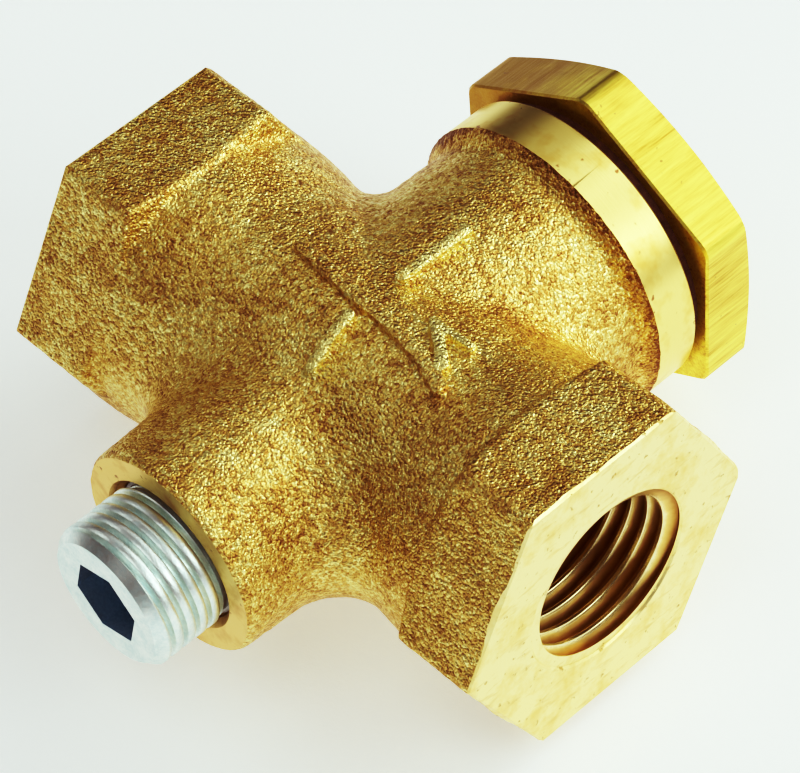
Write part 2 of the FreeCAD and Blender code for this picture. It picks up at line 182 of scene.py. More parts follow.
def stacked_mesh(loops, low, high, direction):
    """Points and faces of loops of points around an axis, closed on the axis at the heights low and high."""
    columns = len(loops[0])
    points = [point for loop in loops for point in loop]
    faces = band_faces(len(loops), columns)
    for row, height in ((0, low), (len(loops) - 1, high)):
        centre = len(points)
        points.append((0, 0, height))
        for j in range(columns):
            pair = (row * columns + (j + 1) % columns, row * columns + j)
            faces.append((*(pair if row == 0 else pair[::-1]), centre))
    return np.array(points) @ axes_along(direction).T, faces


def turned_mesh(profile, direction, segments):
    """Points and faces of a profile of (radius, height) that starts and ends on the axis, turned about it."""
    angle = np.arange(segments) * 2 * np.pi / segments
    circle = list(zip(np.cos(angle), np.sin(angle)))
    loops = [[(radius * c, radius * s, height) for c, s in circle] for radius, height in profile[1:-1]]
    return stacked_mesh(loops, profile[0][1], profile[-1][1], direction)


def threaded_mesh(shape, pitch, start, end, direction):
    """Points and faces of a solid bar with a right-hand thread, from rows of (share of the pitch, radius).

    The rows follow the helix, so that crests are clean. Share 0 crosses angle 0 at whole pitches.
    """
    segments = 120
    count = len(shape)
    first = math.floor(start / pitch) - 1
    turns = math.ceil(end / pitch) - first
    rows = [(first + turn + share, radius) for turn in range(turns) for share, radius in shape]
    rows.append((first + turns + shape[0][0], shape[0][1]))
    top = len(rows) - 1
    points, number = [], {}
    for j in range(segments):
        angle = 2 * math.pi * j / segments
        reach = top + count if j == 0 else top
        for row in range(reach + 1):
            turn, radius = rows[row] if row <= top else (rows[row - count][0] + 1, rows[row - count][1])
            number[row, j] = len(points)
            points.append((radius * math.cos(angle), radius * math.sin(angle), (turn + j / segments) * pitch))
    for row in range(top + 1):
        number[row, segments] = number[row + count, 0]
    faces = [
        (number[row, j], number[row, j + 1], number[row + 1, j + 1], number[row + 1, j])
        for row in range(top)
        for j in range(segments)
    ]
    for bottom, flip in ((0, False), (top, True)):
        loop = [number[bottom, j] for j in range(segments)]
        loop += [number[bottom + row, 0] for row in range(count, 0, -1)]
        centre = len(points)
        points.append((0, 0, (rows[bottom][0] + 0.5) * pitch))
        for a, b in zip(loop, loop[1:] + loop[:1]):
            faces.append((a, b, centre) if flip else (b, a, centre))
    return np.array(points) @ axes_along(direction).T, faces


def prism_mesh(outline, start, end, direction):
    """Points and faces of an outline of (across, up) points pushed along an axis."""
    count = len(outline)
    points = [(a, b, height) for height in (start, end) for a, b in outline]
    faces = [(i, (i + 1) % count, (i + 1) % count + count, i + count) for i in range(count)]
    faces += [tuple(range(count - 1, -1, -1)), tuple(range(count, 2 * count))]
    return np.array(points) @ axes_along(direction).T, faces


def swept_mesh(centres, radius, up):
    """Points and faces of a round bar along a path, closed by a flat cap at each end."""
    segments = 16
    centres = np.asarray(centres, float)
    along = np.gradient(centres, axis=0)
    along /= np.linalg.norm(along, axis=1, keepdims=True)
    side = np.cross(along, up)
    side /= np.linalg.norm(side, axis=1, keepdims=True)
    over = np.cross(side, along)
    points = []
    for centre, s, o in zip(centres, side, over):
        for j in range(segments):
            angle = 2 * math.pi * j / segments
            points.append(centre + radius * (math.cos(angle) * s + math.sin(angle) * o))
    faces = band_faces(len(centres), segments)
    last = (len(centres) - 1) * segments
    faces += [tuple(range(segments - 1, -1, -1)), tuple(range(last, last + segments))]
    return np.array(points), faces


# ---------------------------------------------------------------- surface of a distance field
CELL_CORNERS = [(i, j, k) for i in (0, 1) for j in (0, 1) for k in (0, 1)]


def crossed_cells(inside):
    """The grid's cells with corners on both sides of the surface."""
    spans = [tuple(slice(c, c + n - 1) for c, n in zip(corner, inside.shape)) for corner in CELL_CORNERS]
    total = sum(inside[span].astype(np.int8) for span in spans)
    return np.argwhere((total > 0) & (total < len(CELL_CORNERS)))


def cell_points(value, cells):
    """The mean of the places where the surface crosses each cell's edges, in steps of the grid."""
    place, hits = np.zeros((len(cells), 3)), np.zeros(len(cells))
    for a in CELL_CORNERS:
        for axis in range(3):
            if a[axis]:
                continue
            b = tuple(1 if i == axis else a[i] for i in range(3))
            start, end = cells + a, cells + b
            value_a, value_b = value[tuple(start.T)], value[tuple(end.T)]
            crossed = (value_a < 0) != (value_b < 0)
            share = np.where(crossed, value_a / np.where(crossed, value_a - value_b, 1), 0)
            point = start + share[:, None] * (end - start)
            place[crossed] += point[crossed]
            hits += crossed
    return place / hits[:, None]


def quads_along(axis, inside, number):
    """Quads around the grid's edges along one axis that the surface crosses, facing outward."""
    p, q = (axis + 1) % 3, (axis + 2) % 3
    near = [slice(None)] * 3
    far = [slice(None)] * 3
    near[axis], far[axis] = slice(0, -1), slice(1, None)
    edges = np.argwhere(inside[tuple(near)] != inside[tuple(far)])
    edges = edges[(edges[:, p] > 0) & (edges[:, q] > 0)]
    edges = edges[(edges[:, p] < inside.shape[p] - 1) & (edges[:, q] < inside.shape[q] - 1)]
    quads = []
    for dp, dq in ((1, 1), (0, 1), (0, 0), (1, 0)):
        cell = edges.copy()
        cell[:, p] -= dp
        cell[:, q] -= dq
        quads.append(number[tuple(cell.T)])
    quads = np.stack(quads, axis=1)
    outward = inside[tuple(edges.T)]
    quads[~outward] = quads[~outward][:, ::-1]
    return quads


def net_mesh(field, low, high, step):
    """Points and quads of the surface where a distance field is zero, one point in each cell it crosses."""
    low = np.array(low, float)
    counts = [int(math.ceil((b - a) / step)) + 1 for a, b in zip(low, high)]
    grid = np.stack(np.meshgrid(*[np.arange(n) for n in counts], indexing="ij"), axis=-1)
    value = field(low + grid * step)
    inside = value < 0
    cells = crossed_cells(inside)
    points = low + cell_points(value, cells) * step
    number = np.full([n - 1 for n in counts], -1)
    number[tuple(cells.T)] = np.arange(len(cells))
    return points, np.concatenate([quads_along(axis, inside, number) for axis in range(3)])


def gradient(field, points, reach=0.02):
    """The field's direction of steepest rise at each point, with length 1."""
    slope = np.empty_like(points)
    for axis in range(3):
        shift = np.zeros(3)
        shift[axis] = reach
        slope[:, axis] = field(points + shift) - field(points - shift)
    slope /= 2 * reach
    return slope / np.maximum(np.linalg.norm(slope, axis=1, keepdims=True), 1e-9)


# ---------------------------------------------------------------- cuts and shading
def carve(target, tool, operation="DIFFERENCE"):
    """Cut, meet or join target with a closed tool, whose material its own faces keep. The tool is used up."""
    modifier = target.modifiers.new("Carve", "BOOLEAN")
    modifier.operation = operation
    modifier.solver = "MANIFOLD"
    modifier.material_mode = "TRANSFER"
    modifier.object = tool
    bpy.context.view_layer.update()
    graph = bpy.context.evaluated_depsgraph_get()
    carved = target.evaluated_get(graph)
    made = bpy.data.meshes.new_from_object(carved, preserve_all_data_layers=True, depsgraph=graph)
    target.modifiers.clear()
    old = target.data
    target.data = made
    made.name = target.name
    bpy.data.meshes.remove(old)
    bpy.data.objects.remove(tool)
    if not len(made.polygons):
        raise ValueError(f"{target.name} vanished in a cut")


def cutter(mesh, material):
    """A closed object to carve with, from points and faces."""
    return mesh_object("Tool", *mesh, material)


def turned_cutter(profile, direction, material, segments=128):
    return cutter(turned_mesh(profile, direction, segments), material)


def cylinder(radius, start, end):
    """The profile of a plain cylinder."""
    return [(0, start), (radius, start), (radius, end), (0, end)]


def cone(wide, wide_height, narrow, narrow_height):
    """The profile of a cone between two radii at two heights."""
    return [(0, wide_height), (wide, wide_height), (narrow, narrow_height), (0, narrow_height)]


def shade(piece, degrees=35):
    """Smooth shading, with the edges that turn by more than an angle kept crisp."""
    piece.data.shade_smooth()
    piece.data.set_sharp_from_angle(angle=math.radians(degrees))


# ---------------------------------------------------------------- materials
class Finish:
    """A material and short ways to add nodes to it. Positions are in millimetres about the crossing."""

    def __init__(self, name, metallic=1.0):
        self.material = bpy.data.materials.new(name)
        self.material.use_nodes = True
        self.tree = self.material.node_tree
        self.surface = self.tree.nodes["Principled BSDF"]
        self.surface.inputs["Metallic"].default_value = metallic
        place = self.add("ShaderNodeTexCoord").outputs["Object"]
        offset = tuple(-c / MM for c in CROSSING)
        self.place = self.vector("MULTIPLY_ADD", place, (1 / MM,) * 3, offset)

    def add(self, kind, inputs=None, **settings):
        node = self.tree.nodes.new(kind)
        for key, value in settings.items():
            setattr(node, key, value)
        for key, value in (inputs or {}).items():
            self.put(node.inputs[key], value)
        return node

    def put(self, socket, value):
        if isinstance(value, bpy.types.NodeSocket):
            self.tree.links.new(value, socket)
        else:
            socket.default_value = value

    def math(self, operation, a, b=0.0, c=0.0):
        return self.add("ShaderNodeMath", {0: a, 1: b, 2: c}, operation=operation).outputs[0]

    def vector(self, operation, a, b=(0, 0, 0), c=(0, 0, 0)):
        node = self.add("ShaderNodeVectorMath", {0: a, 1: b, 2: c}, operation=operation)
        return node.outputs["Value" if operation == "LENGTH" else "Vector"]

    def along(self, axis):
        """The place along one axis."""
        return self.add("ShaderNodeSeparateXYZ", {0: self.place}).outputs[axis]

    def weigh(self, a, share_a, b, share_b):
        """Two values added in those shares."""
        return self.math("MULTIPLY_ADD", a, share_a, self.math("MULTIPLY", b, share_b))

    def sway(self, value, share, base):
        """A base moved up and down by a share of a value that swings about one half."""
        return self.math("MULTIPLY_ADD", self.math("SUBTRACT", value, 0.5), share, base)

    def noise(self, scale, detail=2.0, rough=0.5, stretch=(1, 1, 1), shift=(0, 0, 0)):
        place = self.vector("MULTIPLY_ADD", self.place, stretch, shift)
        inputs = {"Vector": place, "Scale": scale, "Detail": detail, "Roughness": rough}
        return self.add("ShaderNodeTexNoise", inputs).outputs["Fac"]

    def range(self, value, low, high, to_low=0.0, to_high=1.0):
        inputs = {0: value, 1: low, 2: high, 3: to_low, 4: to_high}
        return self.add("ShaderNodeMapRange", inputs).outputs[0]

    def ramp(self, value, *stops):
        """A colour from a value by stops of (place, colour)."""
        node = self.add("ShaderNodeValToRGB", {"Fac": value})
        marks = node.color_ramp.elements
        while len(marks) < len(stops):
            marks.new(0.5)
        for mark, (where, colour) in zip(marks, stops):
            mark.position = where
            mark.color = (*colour, 1)
        return node.outputs["Color"]

    def mix(self, share, a, b):
        node = self.add("ShaderNodeMix", data_type="RGBA")
        self.put(node.inputs[0], share)
        for socket, value in ((node.inputs[6], a), (node.inputs[7], b)):
            self.put(socket, value if isinstance(value, bpy.types.NodeSocket) else (*value, 1))
        return node.outputs[2]

    def bump(self, height, root_shade_and_stain):
        """Adds a relief of that depth in millimetres, on top of what is there already."""
        node = self.add("ShaderNodeBump", {"Height": height, "Distance": root_shade_and_stain * MM, "Strength": 1.0})
        socket = self.surface.inputs["Normal"]
        if socket.is_linked:
            self.tree.links.new(socket.links[0].from_socket, node.inputs["Normal"])
        self.tree.links.new(node.outputs["Normal"], socket)

    def finish(self, colour, roughness):
        self.put(self.surface.inputs["Base Color"], colour)
        self.put(self.surface.inputs["Roughness"], roughness)
        return self.material


def cast_brass(name, wear_and_highlight=0.0):
    """Shot-blasted cast brass: grains of a fifth of a millimetre, each with its own tone, under tarnish.

    The second argument lightens it: partly real wear, as on raised edges, and partly painted highlight. A
    band of painted shade darkens it against the foot of the turned ring.
    """
    f = Finish(name)
    warp = f.add("ShaderNodeTexNoise", {"Vector": f.place, "Scale": 3.0, "Detail": 1.0}).outputs["Color"]
    place = f.vector("MULTIPLY_ADD", warp, (0.25, 0.25, 0.25), f.place)
    grain = f.add("ShaderNodeTexVoronoi", {"Vector": place, "Scale": 4.6, "Randomness": 1.0})
    own_tone = f.add("ShaderNodeSeparateColor", {"Color": grain.outputs["Color"]}).outputs[0]
    lump = f.noise(1.6, 2, 0.6, shift=(4, 4, 7))
    fine = f.noise(7.0, 1, 0.5)
    cloud = f.noise(0.24, 3, 0.6)
    patch = f.noise(1.1, 3, 0.6, shift=(3, 1, 6))
    relief = f.weigh(grain.outputs["Distance"], -0.7, own_tone, 0.35)
    relief = f.math("MULTIPLY_ADD", lump, 0.9, relief)
    relief = f.math("MULTIPLY_ADD", fine, 0.2, relief)
    # the second argument raises the tone: partly wear, partly painted highlight
    tone = f.sway(own_tone, 0.22, 0.5 + wear_and_highlight)
    tone = f.sway(fine, 0.4, tone)
    tone = f.sway(patch, 0.3, tone)
    tone = f.sway(cloud, 0.35, tone)
    # painted shade: the tone darkens in a band against the foot of the turned ring
    ring_foot_shade = f.range(f.along("Y"), RING_START - 0.7, RING_START - 0.1, 0, 0.2)
    tone = f.math("SUBTRACT", tone, ring_foot_shade)
    colour = f.ramp(
        tone,
        (0.26, (0.25, 0.125, 0.04)),
        (0.40, (0.56, 0.345, 0.10)),
        (0.52, (0.82, 0.60, 0.20)),
        (0.66, (0.99, 0.89, 0.39)),
    )
    f.bump(relief, 0.13)
    return f.finish(colour, f.range(tone, 0.35, 0.65, 0.44, 0.30))


def circles(f, axis, spacing):
    """The distance from an axis through the crossing, and fine turning circles around it."""
    keep = {"X": (0, 1, 1), "Y": (1, 0, 1)}[axis]
    radius = f.vector("LENGTH", f.vector("MULTIPLY", f.place, keep))
    place = f.add("ShaderNodeCombineXYZ", {0: f.math("MULTIPLY", radius, 1 / spacing)}).outputs[0]
    inputs = {"Vector": place, "Scale": 1.0, "Detail": 3.0, "Roughness": 0.7}
    return radius, f.add("ShaderNodeTexNoise", inputs).outputs["Fac"]


def faced_brass():
    """The faced ends of the ports: pale satin brass with faint turning circles, pits and a few stains."""
    f = Finish("FacedBrass")
    _, lines = circles(f, "X", 0.16)
    stain = f.noise(0.5, 3, 0.6)
    pit = f.noise(1.5, 3, 0.6, shift=(3, 9, 4))
    streak = f.noise(1.5, 3, 0.6, stretch=(1, 0.25, 1), shift=(5, 5, 1))
    base = f.mix(f.range(stain, 0.45, 0.7), (0.96, 0.83, 0.40), (0.86, 0.66, 0.24))
    base = f.mix(f.range(streak, 0.56, 0.7, 0, 0.6), base, (0.72, 0.52, 0.18))
    colour = f.mix(f.range(pit, 0.64, 0.71, 0, 0.85), base, (0.50, 0.33, 0.09))
    f.bump(lines, 0.014)
    f.bump(f.range(pit, 0.64, 0.74), -0.05)
    return f.finish(colour, f.range(lines, 0.3, 0.7, 0.32, 0.44))


def thread_brass():
    """The port threads: bright crests, and roots darkened as painted shade, mottled by random stains."""
    f = Finish("ThreadBrass")
    radius, lines = circles(f, "X", 0.1)
    stain = f.noise(0.9, 3, 0.6)
    root_shade_and_stain = f.sway(stain, 0.5, f.range(radius, PORT_MINOR, PORT_MAJOR))
    # painted shade: darker towards the thread's roots, swayed by random stains
    colour = f.ramp(root_shade_and_stain, (0.02, (0.96, 0.84, 0.46)), (0.3, (0.80, 0.58, 0.21)), (0.9, (0.44, 0.25, 0.07)))
    f.bump(lines, 0.01)
    return f.finish(colour, f.range(root_shade_and_stain, 0.0, 1.0, 0.24, 0.45))


def turned_brass(name, light, dark, roughness, spacing=0.12):
    """Machined brass with turning marks around the cap axis, and stains."""
    f = Finish(name)
    _, lines = circles(f, "Y", spacing)
    rings = f.noise(7.0, 2, 0.6, stretch=(0.05, 1, 0.05))
    stain = f.noise(0.45, 3, 0.6, shift=(4, 8, 2))
    spot = f.noise(1.4, 2, 0.5, shift=(6, 2, 1))
    colour = f.mix(f.range(stain, 0.5, 0.72), light, dark)
    colour = f.mix(f.range(spot, 0.68, 0.74), colour, (0.40, 0.22, 0.08))
    mark = f.weigh(lines, 0.5, rings, 0.5)
    f.bump(mark, 0.012)
    return f.finish(colour, f.range(mark, 0.3, 0.7, *roughness))


def drawn_brass():
    """The cap's bar stock: drawing lines along its axis, scratches, random stains, and painted shade that
    darkens it towards the inlet side.
    """
    f = Finish("DrawnBrass")
    draw = f.noise(5.0, 4, 0.65, stretch=(1, 0.05, 1))
    wide = f.noise(0.9, 3, 0.6, stretch=(1, 0.12, 1), shift=(2, 5, 9))
    stain = f.noise(0.35, 3, 0.6, shift=(9, 1, 5))
    spot = f.noise(1.9, 2, 0.5, shift=(5, 9, 2))
    tone = f.weigh(draw, 0.5, wide, 0.5)
    base = f.ramp(tone, (0.33, (0.50, 0.30, 0.06)), (0.44, (0.80, 0.60, 0.12)), (0.6, (0.98, 0.85, 0.18)))
    # painted shade: darker towards the inlet side, on top of random stains
    inlet_shade_and_stain = f.math("MULTIPLY_ADD", f.along("X"), -0.08, stain)
    colour = f.mix(f.range(inlet_shade_and_stain, 0.45, 1.0, 0, 0.85), base, (0.46, 0.27, 0.06))
    colour = f.mix(f.range(spot, 0.70, 0.75, 0, 0.8), colour, (0.40, 0.24, 0.08))
    f.bump(tone, 0.05)
    return f.finish(colour, f.range(tone, 0.35, 0.65, 0.44, 0.28))


def fine_finish(name, light, dark, roughness, scale, metallic=1.0, relief=0.01, flake=0.0):
    """A plain surface with clouding, a fine relief and, where flake is above 0, flecks of the dark colour."""
    f = Finish(name, metallic)
    cloud = f.noise(scale, 3, 0.6)
    fine = f.noise(scale * 6, 2, 0.6, shift=(1, 2, 3))
    tone = f.weigh(fine, 0.4, cloud, 0.6)
    colour = f.mix(f.range(tone, 0.38, 0.62), dark, light)
    if flake:
        fleck = f.noise(scale * 4, 1, 0.5, shift=(8, 4, 2))
        colour = f.mix(f.range(fleck, 0.62, 0.68, 0, flake), colour, dark)
    f.bump(fine, relief)
    return f.finish(colour, f.range(tone, 0.35, 0.65, roughness[1], roughness[0]))


def wire_steel():
    """Spring wire: drawn stainless steel with fine lines and a straw tint in places."""
    f = Finish("SpringWire")
    lines = f.noise(6.0, 3, 0.6, stretch=(0.3, 3, 0.3))
    tint = f.noise(0.6, 2, 0.5)
    colour = f.mix(f.range(tint, 0.5, 0.7), (0.62, 0.61, 0.59), (0.60, 0.54, 0.44))
    f.bump(lines, 0.006)
    return f.finish(colour, f.range(lines, 0.3, 0.7, 0.22, 0.36))


CAST = cast_brass("CastBrass")
# the barbs' and bars' material: lighter, partly wear on the raised crests and partly painted highlight
WORN_HIGHLIT = cast_brass("WornHighlitCastBrass", 0.17)
FACED = faced_brass()
THREAD = thread_brass()
RING = turned_brass("RingBrass", (0.97, 0.80, 0.29), (0.84, 0.60, 0.17), (0.26, 0.40))
BOSS_FACE = turned_brass("BossFaceBrass", (0.88, 0.66, 0.26), (0.66, 0.42, 0.14), (0.32, 0.45))
BORE = turned_brass("BoreBrass", (0.80, 0.58, 0.24), (0.50, 0.30, 0.11), (0.35, 0.5))
DRAWN = drawn_brass()
ZINC = fine_finish("ZincPlate", (0.90, 0.97, 0.92), (0.70, 0.84, 0.82), (0.30, 0.46), 0.8, relief=0.02)
SOCKET = fine_finish("SocketZinc", (0.55, 0.80, 0.90), (0.34, 0.56, 0.68), (0.30, 0.5), 0.9)
SEAT = turned_brass("SeatBrass", (0.95, 0.82, 0.44), (0.80, 0.60, 0.26), (0.16, 0.28), 0.08)
POPPET = turned_brass("PoppetBrass", (0.93, 0.78, 0.40), (0.74, 0.52, 0.20), (0.20, 0.34), 0.16)
STAINLESS = fine_finish("Stainless", (0.64, 0.63, 0.61), (0.50, 0.49, 0.47), (0.22, 0.36), 1.2)
COPPER = fine_finish("JointCopper", (0.93, 0.56, 0.40), (0.60, 0.27, 0.15), (0.28, 0.46), 0.9)
RUBBER = fine_finish("SealRubber", (0.030, 0.030, 0.032), (0.014, 0.014, 0.015), (0.52, 0.70), 1.4, 0.0, 0.02)
# the gasket's fibre, near black: partly its own colour, partly painted shade standing in for the gap between
# ring and cap
FIBRE_AND_GAP_SHADE = fine_finish(
    "GasketFibreGapShade", (0.13, 0.055, 0.03), (0.05, 0.022, 0.014), (0.62, 0.85), 1.8, 0.0, 0.05, flake=0.7
)
ACETAL = fine_finish("BushPlastic", (0.78, 0.77, 0.72), (0.68, 0.66, 0.60), (0.36, 0.50), 0.7, 0.0, 0.012)
TAPE = fine_finish("SealTape", (0.86, 0.87, 0.86), (0.70, 0.71, 0.70), (0.38, 0.55), 1.6, 0.0, 0.03)
WIRE = wire_steel()


# ---------------------------------------------------------------- the casting's shape
def smooth(value, low, high):
    """A soft step from 0 at low to 1 at high."""
    share = np.clip((value - low) / (high - low), 0, 1)
    return share * share * (3 - 2 * share)


def round_union(a, b, radius):
    """Two distance fields joined with a concave radius."""
    corner = np.hypot(np.maximum(radius - a, 0), np.maximum(radius - b, 0))
    return np.maximum(radius, np.minimum(a, b)) - corner


def round_meet(a, b, radius):
    """What two distance fields share, with a convex radius on the edge."""
    return -round_union(-a, -b, radius)


def fading_fillet(z, radius, fade):
    """A fillet radius that is full at mid height and least where the square of the height reaches fade."""
    return np.clip(radius * (1 - z * z / fade), LEAST_FILLET, None)


# raised marks on the crossing's top: a bent shaft with two barbs, and two bars beside it. Each is a line seen
# from above, with its half width
SHAFT_POINTS = [(-5.4, 0.1), (0.3, -0.4), (3.6, -0.6), (6.5, -1.1), (8.8, -1.9)]
SHAFT = [(start, end, 0.55) for start, end in zip(SHAFT_POINTS, SHAFT_POINTS[1:])]
BARS = [
    ((4.9, 1.5), (8.0, 1.55), 0.38),
    ((4.9, 1.5), (7.9, -0.7), 0.42),
    ((0.75, 2.7), (0.85, 8.2), 0.42),
    ((0.7, -1.8), (1.1, -5.5), 0.45),
]
MARK_HEIGHT, MARK_EDGE, MARK_FOOT = 0.52, 0.22, 0.1
WORN_HIGHLIT_MARGIN = 0.05
OFF_MARKS = 9.0


def stroke(x, y, start, end):
    """Distance, seen from above, to a straight line between two points."""
    run = (end[0] - start[0], end[1] - start[1])
    along = ((x - start[0]) * run[0] + (y - start[1]) * run[1]) / math.hypot(*run) ** 2
    share = np.clip(along, 0, 1)
    return np.hypot(x - start[0] - share * run[0], y - start[1] - share * run[1])


def marks_outline(marks, x, y, z):
    """Distance, seen from above, to the outline of raised marks, which stand on the upper side only."""
    outline = np.full_like(x, OFF_MARKS)
    for start, end, half_width in marks:
        outline = np.minimum(outline, stroke(x, y, start, end) - half_width)
    return np.where(z > 0, outline, OFF_MARKS)


def hexagon_field(x, y, z):
    """Distance to the two end hexagons, whose inner ends lean towards the faces by a draft."""
    side, out = np.abs(x), np.hypot(y, z)
    slant = HEX_SIDE_NORMAL[0] * np.abs(y) + HEX_SIDE_NORMAL[1] * np.abs(z) - HEX_SIDE
    hexagon = round_meet(slant, np.abs(z) - HEX_TOP, HEX_EDGE)
    hexagon = round_meet(hexagon, y - HEX_BLUNT, HEX_BLUNT_EDGE)
    foot = out - (BARREL + BARREL_SWELL)
    inner_end = (HEX_START - HEX_DRAFT + HEX_DRAFT * foot - side) / math.hypot(1, HEX_DRAFT)
    hexagon = round_meet(hexagon, inner_end, HEX_INNER_EDGE)
    return np.maximum(hexagon, side - HALF_LENGTH - OVERLAP)


def boss_fields(x, y, z):
    """Distances to the cap's boss and the drain's boss."""
    across = np.hypot(x, z)
    collar = COLLAR * smooth(y, COLLAR_START, RING_START)
    ring_blank = RING_BLANK * smooth(y, BLANK_START, BLANK_END)
    cap_boss = across - (CAP_BOSS + collar + ring_blank)
    cap_boss = np.maximum(cap_boss, np.maximum(y - RING_END - OVERLAP, -OVERLAP - y))
    drain_boss = across - (DRAIN_BOSS + DRAIN_TAPER * np.minimum(y, 0))
    drain_boss = round_meet(drain_boss, DRAIN_FACE - FACING_STOCK - y, DRAIN_EDGE)
    return cap_boss, np.maximum(drain_boss, y - OVERLAP)


def cast_field(points):
    """Distance to the casting's skin, before anything is machined."""
    x, y, z = points[..., 0], points[..., 1], points[..., 2]
    side, out = np.abs(x), np.hypot(y, z)
    radius = BARREL + BARREL_SWELL * smooth(side, SWELL_START, SWELL_END)
    barrel = np.maximum(out - radius, side - HALF_LENGTH)
    cap_boss, drain_boss = boss_fields(x, y, z)
    skin = round_union(barrel, cap_boss, fading_fillet(z, CAP_FILLET, CAP_FILLET_FADE))
    skin = round_union(skin, drain_boss, fading_fillet(z, DRAIN_FILLET, DRAIN_FILLET_FADE))
    skin = round_union(skin, hexagon_field(x, y, z), HEX_FOOT)
    mark = round_meet(marks_outline(SHAFT + BARS, x, y, z), skin - MARK_HEIGHT, MARK_EDGE)
    return round_union(skin, mark, MARK_FOOT)


# the sand mould's roughness, as swell, lumps and grain: waves per millimetre, height, and the noise's offset
MOULD = [(0.23, 0.06, Vector((0, 0, 0))), (0.8, 0.035, Vector((5, 1, 8))), (1.9, 0.05, Vector((2, 7, 3)))]


def rough_height(point):
    """How far the sand mould lifts the skin at a point, in millimetres."""
    return sum(height * noise.noise(point * waves + offset) for waves, height, offset in MOULD)


def cast_skin():
    """The rough casting, with its barbs and bars in the lightened material: partly worn crests, partly
    painted highlight.
    """
    points, quads = net_mesh(cast_field, SKIN_LOW, SKIN_HIGH, SKIN_STEP)
    for _ in range(2):
        away = cast_field(points)
        points -= np.clip(away, -SKIN_STEP, SKIN_STEP)[:, None] * gradient(cast_field, points)
    lift = np.array([rough_height(Vector(p)) for p in points])
    points += gradient(cast_field, points) * lift[:, None]
    body = mesh_object("ValveBody", points, quads.tolist(), CAST)
    body.data.materials.append(WORN_HIGHLIT)
    centre = np.empty(len(body.data.polygons) * 3, np.float32)
    body.data.polygons.foreach_get("center", centre)
    outline = marks_outline(BARS, *(centre.reshape(-1, 3) / MM - np.array(CROSSING) / MM).T)
    # faces of the barbs and bars take the lighter material: partly wear, partly painted highlight
    body.data.polygons.foreach_set("material_index", (outline < WORN_HIGHLIT_MARGIN).astype(np.int32))
    return body


# ---------------------------------------------------------------- machining of the valve body
def end_envelope():
    """A convex block whose ends are the ports' faces, with a narrow chamfer around each hexagon."""
    break_edge = 0.14
    flare = 14.0
    stations = [(-HALF_LENGTH, -break_edge), (-HALF_LENGTH + flare, flare - break_edge)]
    stations += [(-x, grow) for x, grow in reversed(stations)]
    points = []
    for x, grow in stations:
        top = HEX_TOP + grow
        side = HEX_SIDE + grow
        corner = side / HEX_SIDE_NORMAL[0]
        shoulder = (side - HEX_SIDE_NORMAL[1] * top) / HEX_SIDE_NORMAL[0]
        upper = [(corner, 0), (shoulder, top), (-shoulder, top)]
        points += [(x, sign * y, sign * z) for sign in (1, -1) for y, z in upper]
    faces = [(5, 4, 3, 2, 1, 0), (18, 19, 20, 21, 22, 23)]
    faces += band_faces(len(stations), 6)
    return mesh_object("EndEnvelope", np.array(points, float), faces, FACED)


def thread_shape(crest, root):
    """Rows of an inside thread with rounded crests and roots."""
    rising = [(0.08, 0), (0.13, 0.08), (0.40, 0.92), (0.45, 1)]
    falling = [(0.55, 1), (0.60, 0.92), (0.87, 0.08), (0.92, 0)]
    return [(share, crest + root_shade_and_stain * (root - crest)) for share, root_shade_and_stain in rising + falling]


def bore_port(body, direction):
    """One threaded port with its countersink and the relief at the end of the thread."""
    mouth = HALF_LENGTH
    inner = mouth - PORT_DEPTH
    shape = thread_shape(PORT_MINOR, PORT_MAJOR)
    thread = threaded_mesh(shape, PORT_PITCH, inner + PORT_RUNOUT, mouth + PAST_FACE, direction)
    carve(body, cutter(thread, THREAD))
    past = 0.3
    sink = cone(PORT_MOUTH + past, mouth + past, PORT_MOUTH - PORT_SINK, mouth - PORT_SINK)
    carve(body, turned_cutter(sink, direction, FACED))
    relief = [
        (0, inner),
        (RELIEF_RADIUS, inner),
        (RELIEF_RADIUS, inner + RELIEF_WIDTH),
        (RELIEF_RADIUS - RELIEF_BEVEL, inner + RELIEF_WIDTH + RELIEF_BEVEL),
        (0, inner + RELIEF_WIDTH + RELIEF_BEVEL),
    ]
    carve(body, turned_cutter(relief, direction, BORE))


def bore_for_cap(body):
    """The upper chamber, the cap's thread and its mouth."""
    carve(body, turned_cutter(cylinder(UPPER_BORE, WEB, UPPER_END), "+Y", BORE))
    shape = thread_shape(CAP_MINOR, CAP_MAJOR)
    carve(body, cutter(threaded_mesh(shape, CAP_PITCH, CAP_THREAD_START, RING_END + PAST_FACE, "+Y"), BORE))
    mouth = cone(CAP_MOUTH, RING_END + PAST_FACE, CAP_MINOR, RING_END - CAP_MOUTH_DEPTH)
    carve(body, turned_cutter(mouth, "+Y", BORE))


def bore_for_plug(body):
    """The lower chamber, the plug's thread and its mouth."""
    face = -DRAIN_FACE
    carve(body, turned_cutter(cylinder(LOWER_BORE, WEB, LOWER_END), "-Y", BORE))
    shape = thread_shape(DRAIN_MINOR, DRAIN_MAJOR)
    carve(body, cutter(threaded_mesh(shape, PLUG_PITCH, DRAIN_THREAD_START, face + PAST_FACE, "-Y"), BORE))
    mouth = cone(DRAIN_MOUTH, face + PAST_FACE, DRAIN_MINOR, face - DRAIN_MOUTH_DEPTH)
    carve(body, turned_cutter(mouth, "-Y", BORE))


